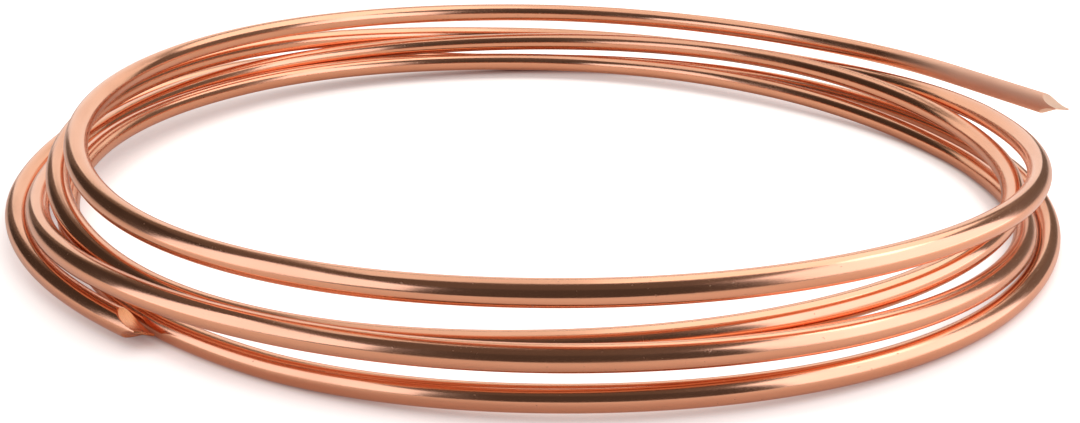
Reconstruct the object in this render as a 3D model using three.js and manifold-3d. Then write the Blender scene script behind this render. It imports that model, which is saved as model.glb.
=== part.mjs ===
// A loose coil of round copper tube: about four and a half turns of one continuous length, lying on
// its lowest turn, with both free ends cropped to a closed wedge.
// Millimetres, +Z up. The origin is on the floor, in the middle of the coil's outline.
import * as THREE from 'three';
import { mergeVertices } from 'three/addons/utils/BufferGeometryUtils.js';
import Module from 'manifold-3d';

const wasm = await Module();
wasm.setup();

// Driving dimensions
const TUBE_OD = 6;
const SECTION_SIDES = 12;
const SWEEP_STEPS = 333;

// The centreline as [radius from the coil's axis, height above the floor], at eight stations a turn,
// one turn to a row. The first station is the low end, front left. The tube then runs clockwise, seen
// from above, and climbs to its high end at the right.
const STATIONS_PER_TURN = 8;
const FIRST_STATION_DEG = 229.5;
const STATIONS = [
  [135, 4.5], [144.5, 6.6], [144.5, 10], [134.5, 3], [136.5, 3], [139, 3], [138, 3], [134, 4.5],
  [128.7, 3], [130.1, 9.4], [131.5, 8], [126, 5.5], [120, 5.5], [129.5, 3], [135, 9.5], [136, 14.5],
  [137, 15.3], [136.8, 10], [137.2, 11], [130, 12], [125, 14], [127.5, 13], [130, 15.5], [129, 14.5],
  [130, 13], [132, 18.5], [137.2, 18.5], [142, 11.5], [136.5, 11], [132, 18.5], [136.5, 26], [133.5, 27.5],
  [129, 26], [125, 27.5], [128.5, 26], [132.5, 22.5], [137, 20], [145.5, 20.5],
];
// The high end leaves the coil this far before its last station, and runs straight from there.
const STRAIGHT_DEG = 18.5;

// Cropped ends: two round jaws, the lower one first, bite from opposite sides and leave a thin closed
// edge. edgeDeg turns that edge about the tube, from level, and edgeDrop sets it below the centreline.
// A bite stays inside a short sleeve around the end, clear of the neighbouring turns.
const LOW_END_CROP = { jawRadii: [8, 17], edgeDeg: -28, edgeDrop: 0.4 };
const HIGH_END_CROP = { jawRadii: [10.5, 10.5], edgeDeg: -10, edgeDrop: 0 };
const EDGE_THICKNESS = 0.5;
const JAW_LENGTH = 8;
const JAW_SIDES = 120;
const SLEEVE_RADIUS = 3.3;
const SLEEVE_LENGTH = 13;
const SLEEVE_PAST_TIP = 1;
const SLEEVE_SIDES = 24;

// Vertices closer than this are one vertex, and the straight end's direction is taken over this share
// of the centreline.
const MERGE_DISTANCE = 1e-4;
const TANGENT_STEP = 1e-4;

const COPPER_COLOR = 0xd7967a;
const COPPER = new THREE.MeshStandardMaterial({ color: COPPER_COLOR, roughness: 0.18, metalness: 1 });

// The centreline: radius and height run smoothly through the stations as the angle turns evenly, the
// tube never dips into the floor, and the high end runs straight on.
class CoilPath extends THREE.Curve {
  constructor() {
    super();
    this.profile = new THREE.SplineCurve(STATIONS.map(([radius, height]) => new THREE.Vector2(radius, height)));
    this.sweepDeg = (STATIONS.length - 1) * (360 / STATIONS_PER_TURN);
    this.straightFrom = 1 - STRAIGHT_DEG / this.sweepDeg;
  }

  coiledPoint(t) {
    const { x: radius, y: height } = this.profile.getPoint(t);
    const angle = THREE.MathUtils.degToRad(FIRST_STATION_DEG - t * this.sweepDeg);
    return new THREE.Vector3(radius * Math.cos(angle), radius * Math.sin(angle), Math.max(height, TUBE_OD / 2));
  }

  getPoint(t, target = new THREE.Vector3()) {
    if (t <= this.straightFrom) {
      return target.copy(this.coiledPoint(t));
    }
    const leaving = this.coiledPoint(this.straightFrom);
    const before = this.coiledPoint(this.straightFrom - TANGENT_STEP);
    const velocity = leaving.clone().sub(before).divideScalar(TANGENT_STEP);
    return target.copy(leaving).addScaledVector(velocity, t - this.straightFrom);
  }
}

// A regular polygon whose flats lie TUBE_OD apart, with one flat facing straight down.
function tubeSection() {
  const cornerRadius = TUBE_OD / 2 / Math.cos(Math.PI / SECTION_SIDES);
  const corners = [];
  for (let i = 0; i < SECTION_SIDES; i += 1) {
    const angle = ((i + 0.5) / SECTION_SIDES) * 2 * Math.PI;
    corners.push(new THREE.Vector2(cornerRadius * Math.cos(angle), cornerRadius * Math.sin(angle)));
  }
  return new THREE.Shape(corners);
}

// A closed geometry, as a solid that can be cut.
function toSolid(geometry) {
  geometry.deleteAttribute('normal');
  geometry.deleteAttribute('uv');
  const merged = mergeVertices(geometry, MERGE_DISTANCE);
  return new wasm.Manifold(new wasm.Mesh({
    numProp: 3,
    vertProperties: merged.attributes.position.array,
    triVerts: Uint32Array.from(merged.index.array),
  }));
}

function toGeometry(solid) {
  const mesh = solid.getMesh();
  const geometry = new THREE.BufferGeometry();
  geometry.setAttribute('position', new THREE.BufferAttribute(mesh.vertProperties, mesh.numProp));
  geometry.setIndex(new THREE.BufferAttribute(mesh.triVerts, 1));
  geometry.computeVertexNormals();
  return geometry;
}

// A cylinder of the given axis, centred on a point.
function cylinderSolid(radius, length, sides, axis, centre) {
  const geometry = new THREE.CylinderGeometry(radius, radius, length, sides);
  geometry.applyQuaternion(new THREE.Quaternion().setFromUnitVectors(new THREE.Vector3(0, 1, 0), axis));
  geometry.translate(centre.x, centre.y, centre.z);
  return toSolid(geometry);
}

// Both jaws close on the tube at its tip. The sleeve runs back from there to a point on the centreline.
function cropEnd(solid, tip, back, { jawRadii, edgeDeg, edgeDrop }) {
  const outward = tip.clone().sub(back).normalize();
  const level = new THREE.Vector3(0, 0, 1).cross(outward).normalize();
  const edge = level.applyAxisAngle(outward, THREE.MathUtils.degToRad(edgeDeg));
  const down = edge.clone().cross(outward);
  const sleeveCentre = tip.clone().addScaledVector(outward, SLEEVE_PAST_TIP - SLEEVE_LENGTH / 2);
  const sleeve = cylinderSolid(SLEEVE_RADIUS, SLEEVE_LENGTH, SLEEVE_SIDES, outward, sleeveCentre);
  const [lowerRadius, upperRadius] = jawRadii;
  const lowerDrop = edgeDrop + EDGE_THICKNESS / 2 + lowerRadius;
  const upperDrop = edgeDrop - EDGE_THICKNESS / 2 - upperRadius;
  let cropped = solid;
  for (const [radius, drop] of [[lowerRadius, lowerDrop], [upperRadius, upperDrop]]) {
    const jawCentre = tip.clone().addScaledVector(down, drop);
    const jaw = cylinderSolid(radius, JAW_LENGTH, JAW_SIDES, edge, jawCentre);
    cropped = cropped.subtract(jaw.intersect(sleeve));
  }
  return cropped;
}

function copperTube() {
  const path = new CoilPath();
  const sweep = new THREE.ExtrudeGeometry(tubeSection(), { steps: SWEEP_STEPS, extrudePath: path });
  const sleeveShare = (SLEEVE_LENGTH - SLEEVE_PAST_TIP) / path.getLength();
  let solid = toSolid(sweep);
  solid = cropEnd(solid, path.getPoint(0), path.getPointAt(sleeveShare), LOW_END_CROP);
  solid = cropEnd(solid, path.getPoint(1), path.getPointAt(1 - sleeveShare), HIGH_END_CROP);
  const tube = new THREE.Mesh(toGeometry(solid), COPPER);
  tube.name = 'copper_tube';
  return tube;
}

// Move the coil so that the middle of its outline stands over the origin.
const tube = copperTube();
tube.geometry.computeBoundingBox();
const middle = tube.geometry.boundingBox.getCenter(new THREE.Vector3());
tube.position.set(-middle.x, -middle.y, 0);

const coil = new THREE.Group();
coil.add(tube);
export default coil;
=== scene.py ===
"""A loose coil of bare copper tube lying on a white table, with both free ends cropped to a closed wedge."""
import math
from types import SimpleNamespace
import bpy
import numpy as np
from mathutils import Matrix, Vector


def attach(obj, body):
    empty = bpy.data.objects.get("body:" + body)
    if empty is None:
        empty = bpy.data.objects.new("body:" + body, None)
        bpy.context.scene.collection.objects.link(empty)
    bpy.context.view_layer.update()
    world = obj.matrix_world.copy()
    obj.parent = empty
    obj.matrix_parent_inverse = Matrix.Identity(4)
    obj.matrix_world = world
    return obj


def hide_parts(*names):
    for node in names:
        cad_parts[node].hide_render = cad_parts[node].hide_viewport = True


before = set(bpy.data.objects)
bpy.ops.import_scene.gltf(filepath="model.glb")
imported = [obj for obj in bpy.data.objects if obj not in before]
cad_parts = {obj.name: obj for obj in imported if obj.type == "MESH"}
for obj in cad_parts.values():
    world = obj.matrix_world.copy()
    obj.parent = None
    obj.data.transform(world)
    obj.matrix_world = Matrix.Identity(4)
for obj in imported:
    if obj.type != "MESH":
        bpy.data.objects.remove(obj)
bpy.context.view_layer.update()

MM = 0.001

# The tube and its route, as in the CAD model: [radius from the coil's axis, height] in millimetres at
# eight stations a turn, from the low end, clockwise seen from above.
TUBE_OD = 6.0
STATIONS_PER_TURN = 8
FIRST_STATION_DEG = 229.5
STATIONS = [
    [135, 4.5], [144.5, 6.6], [144.5, 10], [134.5, 3], [136.5, 3], [139, 3], [138, 3], [134, 4.5],
    [128.7, 3], [130.1, 9.4], [131.5, 8], [126, 5.5], [120, 5.5], [129.5, 3], [135, 9.5], [136, 14.5],
    [137, 15.3], [136.8, 10], [137.2, 11], [130, 12], [125, 14], [127.5, 13], [130, 15.5], [129, 14.5],
    [130, 13], [132, 18.5], [137.2, 18.5], [142, 11.5], [136.5, 11], [132, 18.5], [136.5, 26], [133.5, 27.5],
    [129, 26], [125, 27.5], [128.5, 26], [132.5, 22.5], [137, 20], [145.5, 20.5],
]
SWEEP_DEG = (len(STATIONS) - 1) * 360 / STATIONS_PER_TURN
# The high end leaves the coil this far before its last station, and runs straight from there. Its
# direction is taken over TANGENT_STEP, as a share of the route.
STRAIGHT_DEG = 18.5
TANGENT_STEP = 1e-4

# The cropped ends, as in the CAD model: two round jaws leave a thin edge, which is turned about the
# tube by edge_deg and set below its centreline by edge_drop.
LOW_END_CROP = {"jaw_radii": (8.0, 17.0), "edge_deg": -28, "edge_drop": 0.4}
HIGH_END_CROP = {"jaw_radii": (10.5, 10.5), "edge_deg": -10, "edge_drop": 0}
EDGE_THICKNESS = 0.5
# The end's direction is taken over this length, and a crop moves nothing further back. A point that a
# jaw moved by PRESS_SHOWS or more is freshly cut metal.
CROP_BACK = 12.0
PRESS_SHOWS = 0.15

# Mesh density: the route is measured at PATH_SAMPLES points, and then gets rings of vertices. Each end
# has END_RINGS rings that stand ten times as close as the others, with twice the sides.
PATH_SAMPLES = 12001
RING_SPACING = 2.1
SIDES = 40
END_RINGS = 70
END_RING_SPACING = 0.2
END_SIDES = 80
END_LENGTH = END_RINGS * END_RING_SPACING

# The copper's grain: each size is a length along the tube and a width around it, and heights and
# depths are in millimetres too.
SMUDGE_MM = (26, 5)
DRAWN_LINE_MM = (60, 0.5)
WAVER_MM = (14, 9)
RING_MARK_MM = (0.5, 40)
SPECK_MM = (0.9, 0.7)
CROP_SCUFF_MM = (1.6, 0.25)
DRAWN_LINE_HEIGHT = 0.006
WAVER_HEIGHT = 0.05
CROP_SCUFF_HEIGHT = 0.01
RING_MARK_DEPTH = 0.002
SPECK_DEPTH = 0.001

# Where a noise begins to show as a mark, and where it shows in full
TARNISH_RANGE = (0.42, 0.72)
DULLING_RANGE = (0.3, 0.7)
RING_MARK_RANGE = (0.66, 0.74)
SPECK_RANGE = (0.745, 0.80)

# The last stretch of the high end is pale and dull from handling.
HANDLED_LENGTH = 75

# The copper's colours, and how far each mark replaces the colour under it. Freshly cut copper is orange
# at the low end and pale at the handled high end.
COPPER_BRIGHT = (0.93, 0.475, 0.29, 1)
COPPER_TARNISHED = (0.85, 0.405, 0.235, 1)
COPPER_RUBBED = (0.99, 0.68, 0.51, 1)
COPPER_FRESH = (0.92, 0.36, 0.14, 1)
COPPER_FRESH_PALE = (0.98, 0.78, 0.6, 1)
SPECK_COLOR = (0.25, 0.11, 0.07, 1)
TARNISH_SHARE = 0.5
SPECK_SHARE = 0.4
HANDLED_SHARE = 0.85
FRESH_SHARE = 0.8

# Smudges move the roughness between these two values, and each mark adds to it.
ROUGHNESS = (0.13, 0.23)
RING_MARK_ROUGHNESS = 0.06
SPECK_ROUGHNESS = 0.25
FRESH_ROUGHNESS = 0.08
HANDLED_ROUGHNESS = 0.6

# The photograph's frame and the camera that took it, in pixels and metres
IMAGE_WIDTH = 1080
FOCAL_PX = 1450
SENSOR_MM = 36
CAMERA_POSITION = (-0.0039, -0.3962, 0.1432)
CAMERA_PITCH_DEG = 20.76

# The studio, in metres. The table is lifted to white where the camera sees it, except within a short
# reach of the tube, where ambient occlusion fades the lift into a painted contact shadow. The photograph's
# metal mirrors a table that is darker than the camera sees, so the lift is lower in mirrored rays.
# AMBIENT is the world's strength where it isn't seen.
TABLE_HALF_WIDTH = 4
TABLE_FRONT = -0.24
TABLE_COLOR = (0.86, 0.705, 0.61)
TABLE_LIFT = 0.85
TABLE_MIRRORED_LIFT = 0.1
# How far round the tube the painted contact shadow reaches
PAINTED_CONTACT_SHADOW_REACH = 0.012
AMBIENT = 0.2
SIDE_LAMP_COLOR = (0.95, 1.01, 1.18)
TOP_LAMP_COLOR = (1, 1.01, 1.04)
BACKDROP_COLOR = (1, 1, 1)
ROOM_REACH = 3.0
ROOM_FLOOR = -0.7
ROOM_COLORS = {
    "front": (0.074, 0.062, 0.055),
    "left": (0.054, 0.042, 0.034),
    "right": (0.165, 0.14, 0.125),
    "back": (0.153, 0.123, 0.10),
    "top": (0.12, 0.10, 0.088),
    "under": (0.074, 0.062, 0.055),
}


# ---------------------------------------------------------------- the centreline

def catmull_rom(points, t):
    """Points of a uniform Catmull-Rom spline through a list of points, at shares t of its length."""
    count = len(points)
    place = np.clip(t, 0, 1) * (count - 1)
    index = np.minimum(place.astype(int), count - 2)
    weight = (place - index)[:, None]
    p0 = points[np.maximum(index - 1, 0)]
    p1 = points[index]
    p2 = points[index + 1]
    p3 = points[np.minimum(index + 2, count - 1)]
    v0 = (p2 - p0) / 2
    v1 = (p3 - p1) / 2
    cubic = (2 * p1 - 2 * p2 + v0 + v1) * weight ** 3
    return cubic + (3 * p2 - 3 * p1 - 2 * v0 - v1) * weight ** 2 + v0 * weight + p1


def coiled_points(t):
    """The centreline round the coil's axis, in millimetres, at shares t of its whole turn."""
    profile = catmull_rom(np.array(STATIONS, float), t)
    angle = np.radians(FIRST_STATION_DEG - t * SWEEP_DEG)
    height = np.maximum(profile[:, 1], TUBE_OD / 2)
    return np.stack([profile[:, 0] * np.cos(angle), profile[:, 0] * np.sin(angle), height], 1)


def path_points(t):
    """The whole centreline: coiled, then straight on to the high end."""
    straight_from = 1 - STRAIGHT_DEG / SWEEP_DEG
    points = coiled_points(np.minimum(t, straight_from))
    leaving = coiled_points(np.array([straight_from - TANGENT_STEP, straight_from]))
    velocity = (leaving[1] - leaving[0]) / TANGENT_STEP
    return points + velocity * np.maximum(t - straight_from, 0)[:, None]


def ring_distances(length):
    """Where the rings stand along the tube: close together at the two ends."""
    ends = np.arange(END_RINGS) * END_RING_SPACING
    count = round((length - 2 * END_LENGTH) / RING_SPACING)
    middle = np.linspace(END_LENGTH, length - END_LENGTH, count + 1)
    return np.concatenate([ends, middle, (length - ends)[::-1]])


def along_path(values, travelled, distance):
    """Rows of values known at the travelled distances, at other distances."""
    return np.stack([np.interp(distance, travelled, values[:, k]) for k in range(3)], 1)


def tube_rings():
    """Ring centres with their side and up directions, and their distances along the tube."""
    dense = path_points(np.linspace(0, 1, PATH_SAMPLES))
    steps = np.linalg.norm(np.diff(dense, axis=0), axis=1)
    travelled = np.concatenate([[0], np.cumsum(steps)])
    distance = ring_distances(travelled[-1])
    centres = along_path(dense, travelled, distance)
    along = along_path(np.gradient(dense, axis=0), travelled, distance)
    along /= np.linalg.norm(along, axis=1)[:, None]
    side = np.cross([0.0, 0.0, 1.0], along)
    side /= np.linalg.norm(side, axis=1)[:, None]
    return centres, side, np.cross(along, side), distance


# ---------------------------------------------------------------- the tube's mesh

def crop(points, tip, back, jaw_radii, edge_deg, edge_drop):
    """Presses points near a tip between two round jaws, and pulls back to the tip what is past it."""
    outward = (tip - back) / np.linalg.norm(tip - back)
    level = np.cross([0.0, 0.0, 1.0], outward)
    level /= np.linalg.norm(level)
    turn = math.radians(edge_deg)
    edge = level * math.cos(turn) + np.cross(outward, level) * math.sin(turn)
    down = np.cross(edge, outward)
    # The jaws close along down, and leave the thin edge along edge. Past the tip, depth is negative.
    depth = (tip - points) @ outward
    points = points + np.minimum(depth, 0)[:, None] * outward
    reach = (points - tip) @ down - edge_drop
    pressed = reach
    for side, radius in zip((1, -1), jaw_radii):
        inside = np.clip(depth, 0, radius)
        room = EDGE_THICKNESS / 2 + radius - np.sqrt(radius ** 2 - inside ** 2)
        pressed = np.where(side * reach > room, side * room, pressed)
    return points + (pressed - reach)[:, None] * down


def crop_ends(points, at, centres, distance):
    """Crops both ends of the tube, and tells how far each point is freshly cut metal, from 0 to 1."""
    length = distance[-1]
    fresh = np.zeros(len(points))
    for end, back, crop_size in ((0.0, CROP_BACK, LOW_END_CROP), (length, length - CROP_BACK, HIGH_END_CROP)):
        tip, inner = along_path(centres, distance, [end, back])
        near = np.abs(at - end) < CROP_BACK
        whole = points[near]
        points[near] = crop(whole, tip, inner, **crop_size)
        fresh[near] = np.clip(np.linalg.norm(points[near] - whole, axis=1) / PRESS_SHOWS, 0, 1)
    return fresh


def faces_between(a, n, b, m):
    """Faces from a ring of n points to the next, of m points. One may have twice the points of the other."""
    faces = []
    few = min(n, m)
    for i in range(few):
        j = (i + 1) % few
        if n == m:
            faces.append((a + i, a + j, b + j, b + i))
        elif n > m:
            faces.append((a + 2 * i, a + 2 * i + 1, b + i))
            faces.append((a + 2 * i + 1, a + (2 * i + 2) % n, b + j, b + i))
        else:
            faces.append((b + 2 * i + 1, b + 2 * i, a + i))
            faces.append((b + (2 * i + 2) % m, b + 2 * i + 1, a + i, a + j))
    return faces


def tube_faces(starts, counts):
    """The tube's side, ring by ring, and its two end faces."""
    faces = []
    for k in range(len(starts) - 1):
        faces += faces_between(starts[k], counts[k], starts[k + 1], counts[k + 1])
    faces.append(tuple(range(starts[0], starts[0] + counts[0]))[::-1])
    faces.append(tuple(range(starts[-1], starts[-1] + counts[-1])))
    return faces


def tube_mesh():
    """The tube, with each point's place in the straightened tube, and the tube's length in millimetres."""
    centres, side, up, distance = tube_rings()
    ends = [END_SIDES] * END_RINGS
    counts = ends + [SIDES] * (len(distance) - 2 * END_RINGS) + ends
    starts = [0, *np.cumsum(counts)[:-1].tolist()]
    rings = []
    places = []
    for k, sides in enumerate(counts):
        angle = np.arange(sides) / sides * 2 * math.pi
        across = TUBE_OD / 2 * np.stack([np.cos(angle), np.sin(angle)], 1)
        rings.append(centres[k] + across @ np.stack([side[k], up[k]]))
        places.append(np.column_stack([np.full(sides, distance[k]), across]))
    points = np.concatenate(rings)
    places = np.concatenate(places)
    fresh = crop_ends(points, places[:, 0], centres, distance)
    middle = (points.min(0) + points.max(0)) / 2
    points -= [middle[0], middle[1], 0]
    mesh = bpy.data.meshes.new("tube")
    mesh.from_pydata((points * MM).tolist(), [], tube_faces(starts, counts))
    mesh.update()
    mesh.shade_smooth()
    place = mesh.attributes.new("tube_place", "FLOAT_VECTOR", "POINT")
    place.data.foreach_set("vector", (places * MM).astype(np.float32).ravel())
    cut = mesh.attributes.new("fresh", "FLOAT", "POINT")
    cut.data.foreach_set("value", fresh.astype(np.float32))
    return mesh, distance[-1]


# ---------------------------------------------------------------- the copper

class Nodes:
    """Small helpers to lay out a material's or the world's nodes."""

    def __init__(self, tree):
        self.tree = tree

    def add(self, kind, inputs=(), **settings):
        node = self.tree.nodes.new(kind)
        for name, value in settings.items():
            setattr(node, name, value)
        for name, value in dict(inputs).items():
            if isinstance(value, bpy.types.NodeSocket):
                self.tree.links.new(value, node.inputs[name])
            else:
                node.inputs[name].default_value = value
        return node

    def noise(self, place, size_mm, detail=2):
        """Noise in the straightened tube: size_mm is a grain's length along it and its width around it."""
        length, width = size_mm
        stretch = [1 / (length * MM), 1 / (width * MM), 1 / (width * MM)]
        scaled = self.add("ShaderNodeVectorMath", {0: place, 1: stretch}, operation="MULTIPLY")
        inputs = {"Vector": scaled.outputs[0], "Scale": 1, "Detail": detail}
        return self.add("ShaderNodeTexNoise", inputs).outputs["Fac"]

    def spread(self, value, low, high, to_low=0.0, to_high=1.0):
        """Value's range low to high, spread over to_low to to_high and held there."""
        inputs = {"Value": value, "From Min": low, "From Max": high, "To Min": to_low, "To Max": to_high}
        return self.add("ShaderNodeMapRange", inputs).outputs["Result"]

    def math(self, operation, first, second):
        return self.add("ShaderNodeMath", {0: first, 1: second}, operation=operation).outputs[0]

    def times(self, first, second):
        return self.math("MULTIPLY", first, second)

    def total(self, first, *others):
        for other in others:
            first = self.math("ADD", first, other)
        return first

    def mix(self, share, first, second):
        """Two colours mixed: a Mix node keeps its colour sockets at inputs 6 and 7 and output 2."""
        return self.add("ShaderNodeMix", {0: share, 6: first, 7: second}, data_type="RGBA").outputs[2]


def copper_marks(nodes, length):
    """What marks the copper, each as a number from 0 to 1 over its surface."""
    place = nodes.add("ShaderNodeAttribute", attribute_name="tube_place").outputs["Vector"]
    distance = nodes.add("ShaderNodeSeparateXYZ", {0: place}).outputs["X"]
    handled_from = (length - HANDLED_LENGTH) * MM
    handled_in_full = (length - HANDLED_LENGTH / 2) * MM
    return SimpleNamespace(
        fresh=nodes.add("ShaderNodeAttribute", attribute_name="fresh").outputs["Fac"],
        handled=nodes.spread(distance, handled_from, handled_in_full),
        smudges=nodes.noise(place, SMUDGE_MM),
        lines=nodes.noise(place, DRAWN_LINE_MM, detail=4),
        waver=nodes.noise(place, WAVER_MM, detail=1),
        rings=nodes.spread(nodes.noise(place, RING_MARK_MM, detail=1), *RING_MARK_RANGE),
        specks=nodes.spread(nodes.noise(place, SPECK_MM, detail=1), *SPECK_RANGE),
        scuffs=nodes.noise(place, CROP_SCUFF_MM, detail=3),
    )


def copper_color(nodes, marks):
    tarnish = nodes.spread(marks.smudges, *TARNISH_RANGE, 0, TARNISH_SHARE)
    color = nodes.mix(tarnish, COPPER_BRIGHT, COPPER_TARNISHED)
    color = nodes.mix(nodes.times(marks.specks, SPECK_SHARE), color, SPECK_COLOR)
    color = nodes.mix(nodes.times(marks.handled, HANDLED_SHARE), color, COPPER_RUBBED)
    fresh = nodes.mix(marks.handled, COPPER_FRESH, COPPER_FRESH_PALE)
    return nodes.mix(nodes.times(marks.fresh, FRESH_SHARE), color, fresh)


def copper_roughness(nodes, marks):
    return nodes.total(
        nodes.spread(marks.smudges, *DULLING_RANGE, *ROUGHNESS),
        nodes.times(marks.rings, RING_MARK_ROUGHNESS),
        nodes.times(marks.specks, SPECK_ROUGHNESS),
        nodes.times(marks.fresh, FRESH_ROUGHNESS),
        nodes.times(marks.handled, HANDLED_ROUGHNESS),
    )


def copper_height(nodes, marks):
    """The surface's relief, in millimetres."""
    return nodes.total(
        nodes.times(marks.waver, WAVER_HEIGHT),
        nodes.times(marks.lines, DRAWN_LINE_HEIGHT),
        nodes.times(marks.specks, -SPECK_DEPTH),
        nodes.times(marks.rings, -RING_MARK_DEPTH),
        nodes.times(nodes.times(marks.scuffs, marks.fresh), CROP_SCUFF_HEIGHT),
    )


def copper_material(length):
    """Bright drawn copper: fine lines along it, handling marks, a few specks and scuffed cropped ends."""
    material = bpy.data.materials.new("copper")
    material.use_nodes = True
    nodes = Nodes(material.node_tree)
    marks = copper_marks(nodes, length)
    bump = nodes.add("ShaderNodeBump", {"Height": copper_height(nodes, marks), "Strength": 1, "Distance": MM})
    shader = material.node_tree.nodes["Principled BSDF"]
    shader.inputs["Metallic"].default_value = 1
    link = material.node_tree.links.new
    link(copper_color(nodes, marks), shader.inputs["Base Color"])
    link(copper_roughness(nodes, marks), shader.inputs["Roughness"])
    link(bump.outputs[0], shader.inputs["Normal"])
    return material


def add_copper_tube():
    mesh, length = tube_mesh()
    tube = bpy.data.objects.new("drawn_copper_tube", mesh)
    bpy.context.scene.collection.objects.link(tube)
    mesh.materials.append(copper_material(length))
    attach(tube, "root")
    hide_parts("copper_tube")


# ---------------------------------------------------------------- the studio

def add_camera():
    data = bpy.data.cameras.new("camera")
    data.sensor_width = SENSOR_MM
    data.lens = FOCAL_PX / IMAGE_WIDTH * SENSOR_MM
    camera = bpy.data.objects.new("camera", data)
    camera.location = CAMERA_POSITION
    camera.rotation_euler = (math.radians(90 - CAMERA_PITCH_DEG), 0, 0)
    bpy.context.scene.collection.objects.link(camera)
    bpy.context.scene.camera = camera


def studio_material(name):
    """An empty material, and the helpers to lay out its nodes."""
    material = bpy.data.materials.new(name)
    material.use_nodes = True
    material.node_tree.nodes.clear()
    return material, Nodes(material.node_tree)


def add_quad(name, corners, material):
    mesh = bpy.data.meshes.new(name)
    mesh.from_pydata(corners, [], [(0, 1, 2, 3)])
    mesh.materials.append(material)
    quad = bpy.data.objects.new(name, mesh)
    bpy.context.scene.collection.objects.link(quad)
    return quad


def seen_rays(nodes, mirrored=1.0):
    """1 for what the camera sees, straight or through glass, mirrored for what it sees in metal, else 0."""
    path = nodes.add("ShaderNodeLightPath").outputs
    in_metal = nodes.times(path["Is Glossy Ray"], mirrored)
    seen = nodes.math("MAXIMUM", path["Is Camera Ray"], in_metal)
    return nodes.math("MAXIMUM", seen, path["Is Transmission Ray"])


def add_floor():
    """A white table. What is seen of it is lifted towards white, less so close to the tube: there ambient
    occlusion fades the lift, a painted contact shadow.
    """
    material, nodes = studio_material("white_table")
    board = nodes.add("ShaderNodeBsdfDiffuse", {"Color": (*TABLE_COLOR, 1)})
    lift = nodes.times(seen_rays(nodes, TABLE_MIRRORED_LIFT / TABLE_LIFT), TABLE_LIFT)
    # Ambient occlusion dims the lift near the tube: this is a painted contact shadow.
    painted_shadow_openness = nodes.add("ShaderNodeAmbientOcclusion", {"Distance": PAINTED_CONTACT_SHADOW_REACH}).outputs["AO"]
    glow = nodes.add("ShaderNodeEmission", {"Color": (1, 1, 1, 1), "Strength": nodes.times(lift, painted_shadow_openness)})
    both = nodes.add("ShaderNodeAddShader", {0: board.outputs[0], 1: glow.outputs[0]})
    nodes.add("ShaderNodeOutputMaterial", {0: both.outputs[0]})
    half, front = TABLE_HALF_WIDTH, TABLE_FRONT
    add_quad("floor", [(-half, front, 0), (half, front, 0), (half, half, 0), (-half, half, 0)], material)


def add_world():
    """White where it is seen, and a dimmer even light for the rest."""
    world = bpy.data.worlds.new("world")
    bpy.context.scene.world = world
    world.use_nodes = True
    sky = world.node_tree.nodes["Background"]
    sky.inputs["Color"].default_value = (1, 1, 1, 1)
    nodes = Nodes(world.node_tree)
    strength = nodes.spread(seen_rays(nodes), 0, 1, AMBIENT, 1)
    world.node_tree.links.new(strength, sky.inputs["Strength"])


def add_room():
    """The dim room round the table, which only the metal mirrors."""
    far, low = ROOM_REACH, ROOM_FLOOR
    corners = {
        "front": [(-far, -far, low), (far, -far, low), (far, -far, far), (-far, -far, far)],
        "left": [(-far, -far, low), (-far, far, low), (-far, far, far), (-far, -far, far)],
        "right": [(far, -far, low), (far, far, low), (far, far, far), (far, -far, far)],
        "back": [(-far, far, low), (far, far, low), (far, far, far), (-far, far, far)],
        "top": [(-far, -far, far), (far, -far, far), (far, far, far), (-far, far, far)],
        "under": [(-far, -far, low), (far, -far, low), (far, far, low), (-far, far, low)],
    }
    for side, color in ROOM_COLORS.items():
        material, nodes = studio_material("room_" + side)
        glow = nodes.add("ShaderNodeEmission", {"Color": (*color, 1), "Strength": 1})
        nodes.add("ShaderNodeOutputMaterial", {0: glow.outputs[0]})
        wall = add_quad("room_" + side, corners[side], material)
        for rays in ("camera", "diffuse", "shadow", "transmission", "volume_scatter"):
            setattr(wall, "visible_" + rays, False)


def add_softbox(name, centre, facing, size, color, radiance):
    """A soft rectangular lamp of a known brightness, unseen by the camera."""
    data = bpy.data.lights.new(name, "AREA")
    data.shape = "RECTANGLE"
    data.size, data.size_y = size
    data.color = color
    data.energy = radiance * math.pi * data.size * data.size_y
    lamp = bpy.data.objects.new(name, data)
    lamp.location = centre
    lamp.rotation_euler = Vector(facing).to_track_quat("-Z", "Y").to_euler()
    lamp.visible_camera = False
    bpy.context.scene.collection.objects.link(lamp)


def add_softboxes():
    """Two lamps overhead, one at either side and a glowing backdrop, placed where the tube mirrors them."""
    down, right, left, front = (0, 0, -1), (1, 0, 0), (-1, 0, 0), (0, -1, 0)
    add_softbox("overhead", (0.375, 0.33, 0.6), down, (0.65, 0.8), TOP_LAMP_COLOR, 1.4)
    add_softbox("overhead_left", (-0.12, 0.33, 0.6), down, (0.34, 0.8), TOP_LAMP_COLOR, 0.8)
    add_softbox("left_softbox", (-0.32, -0.345, 0.18), right, (0.51, 0.36), SIDE_LAMP_COLOR, 1.31)
    add_softbox("right_softbox", (0.32, -0.20, 0.21), left, (0.40, 0.42), SIDE_LAMP_COLOR, 1.5)
    add_softbox("backdrop", (-0.11, 0.9, 0.3), front, (1.26, 0.6), BACKDROP_COLOR, 0.85)


add_camera()
add_world()
add_floor()
add_room()
add_softboxes()
add_copper_tube()
bpy.context.scene.view_settings.view_transform = "Standard"
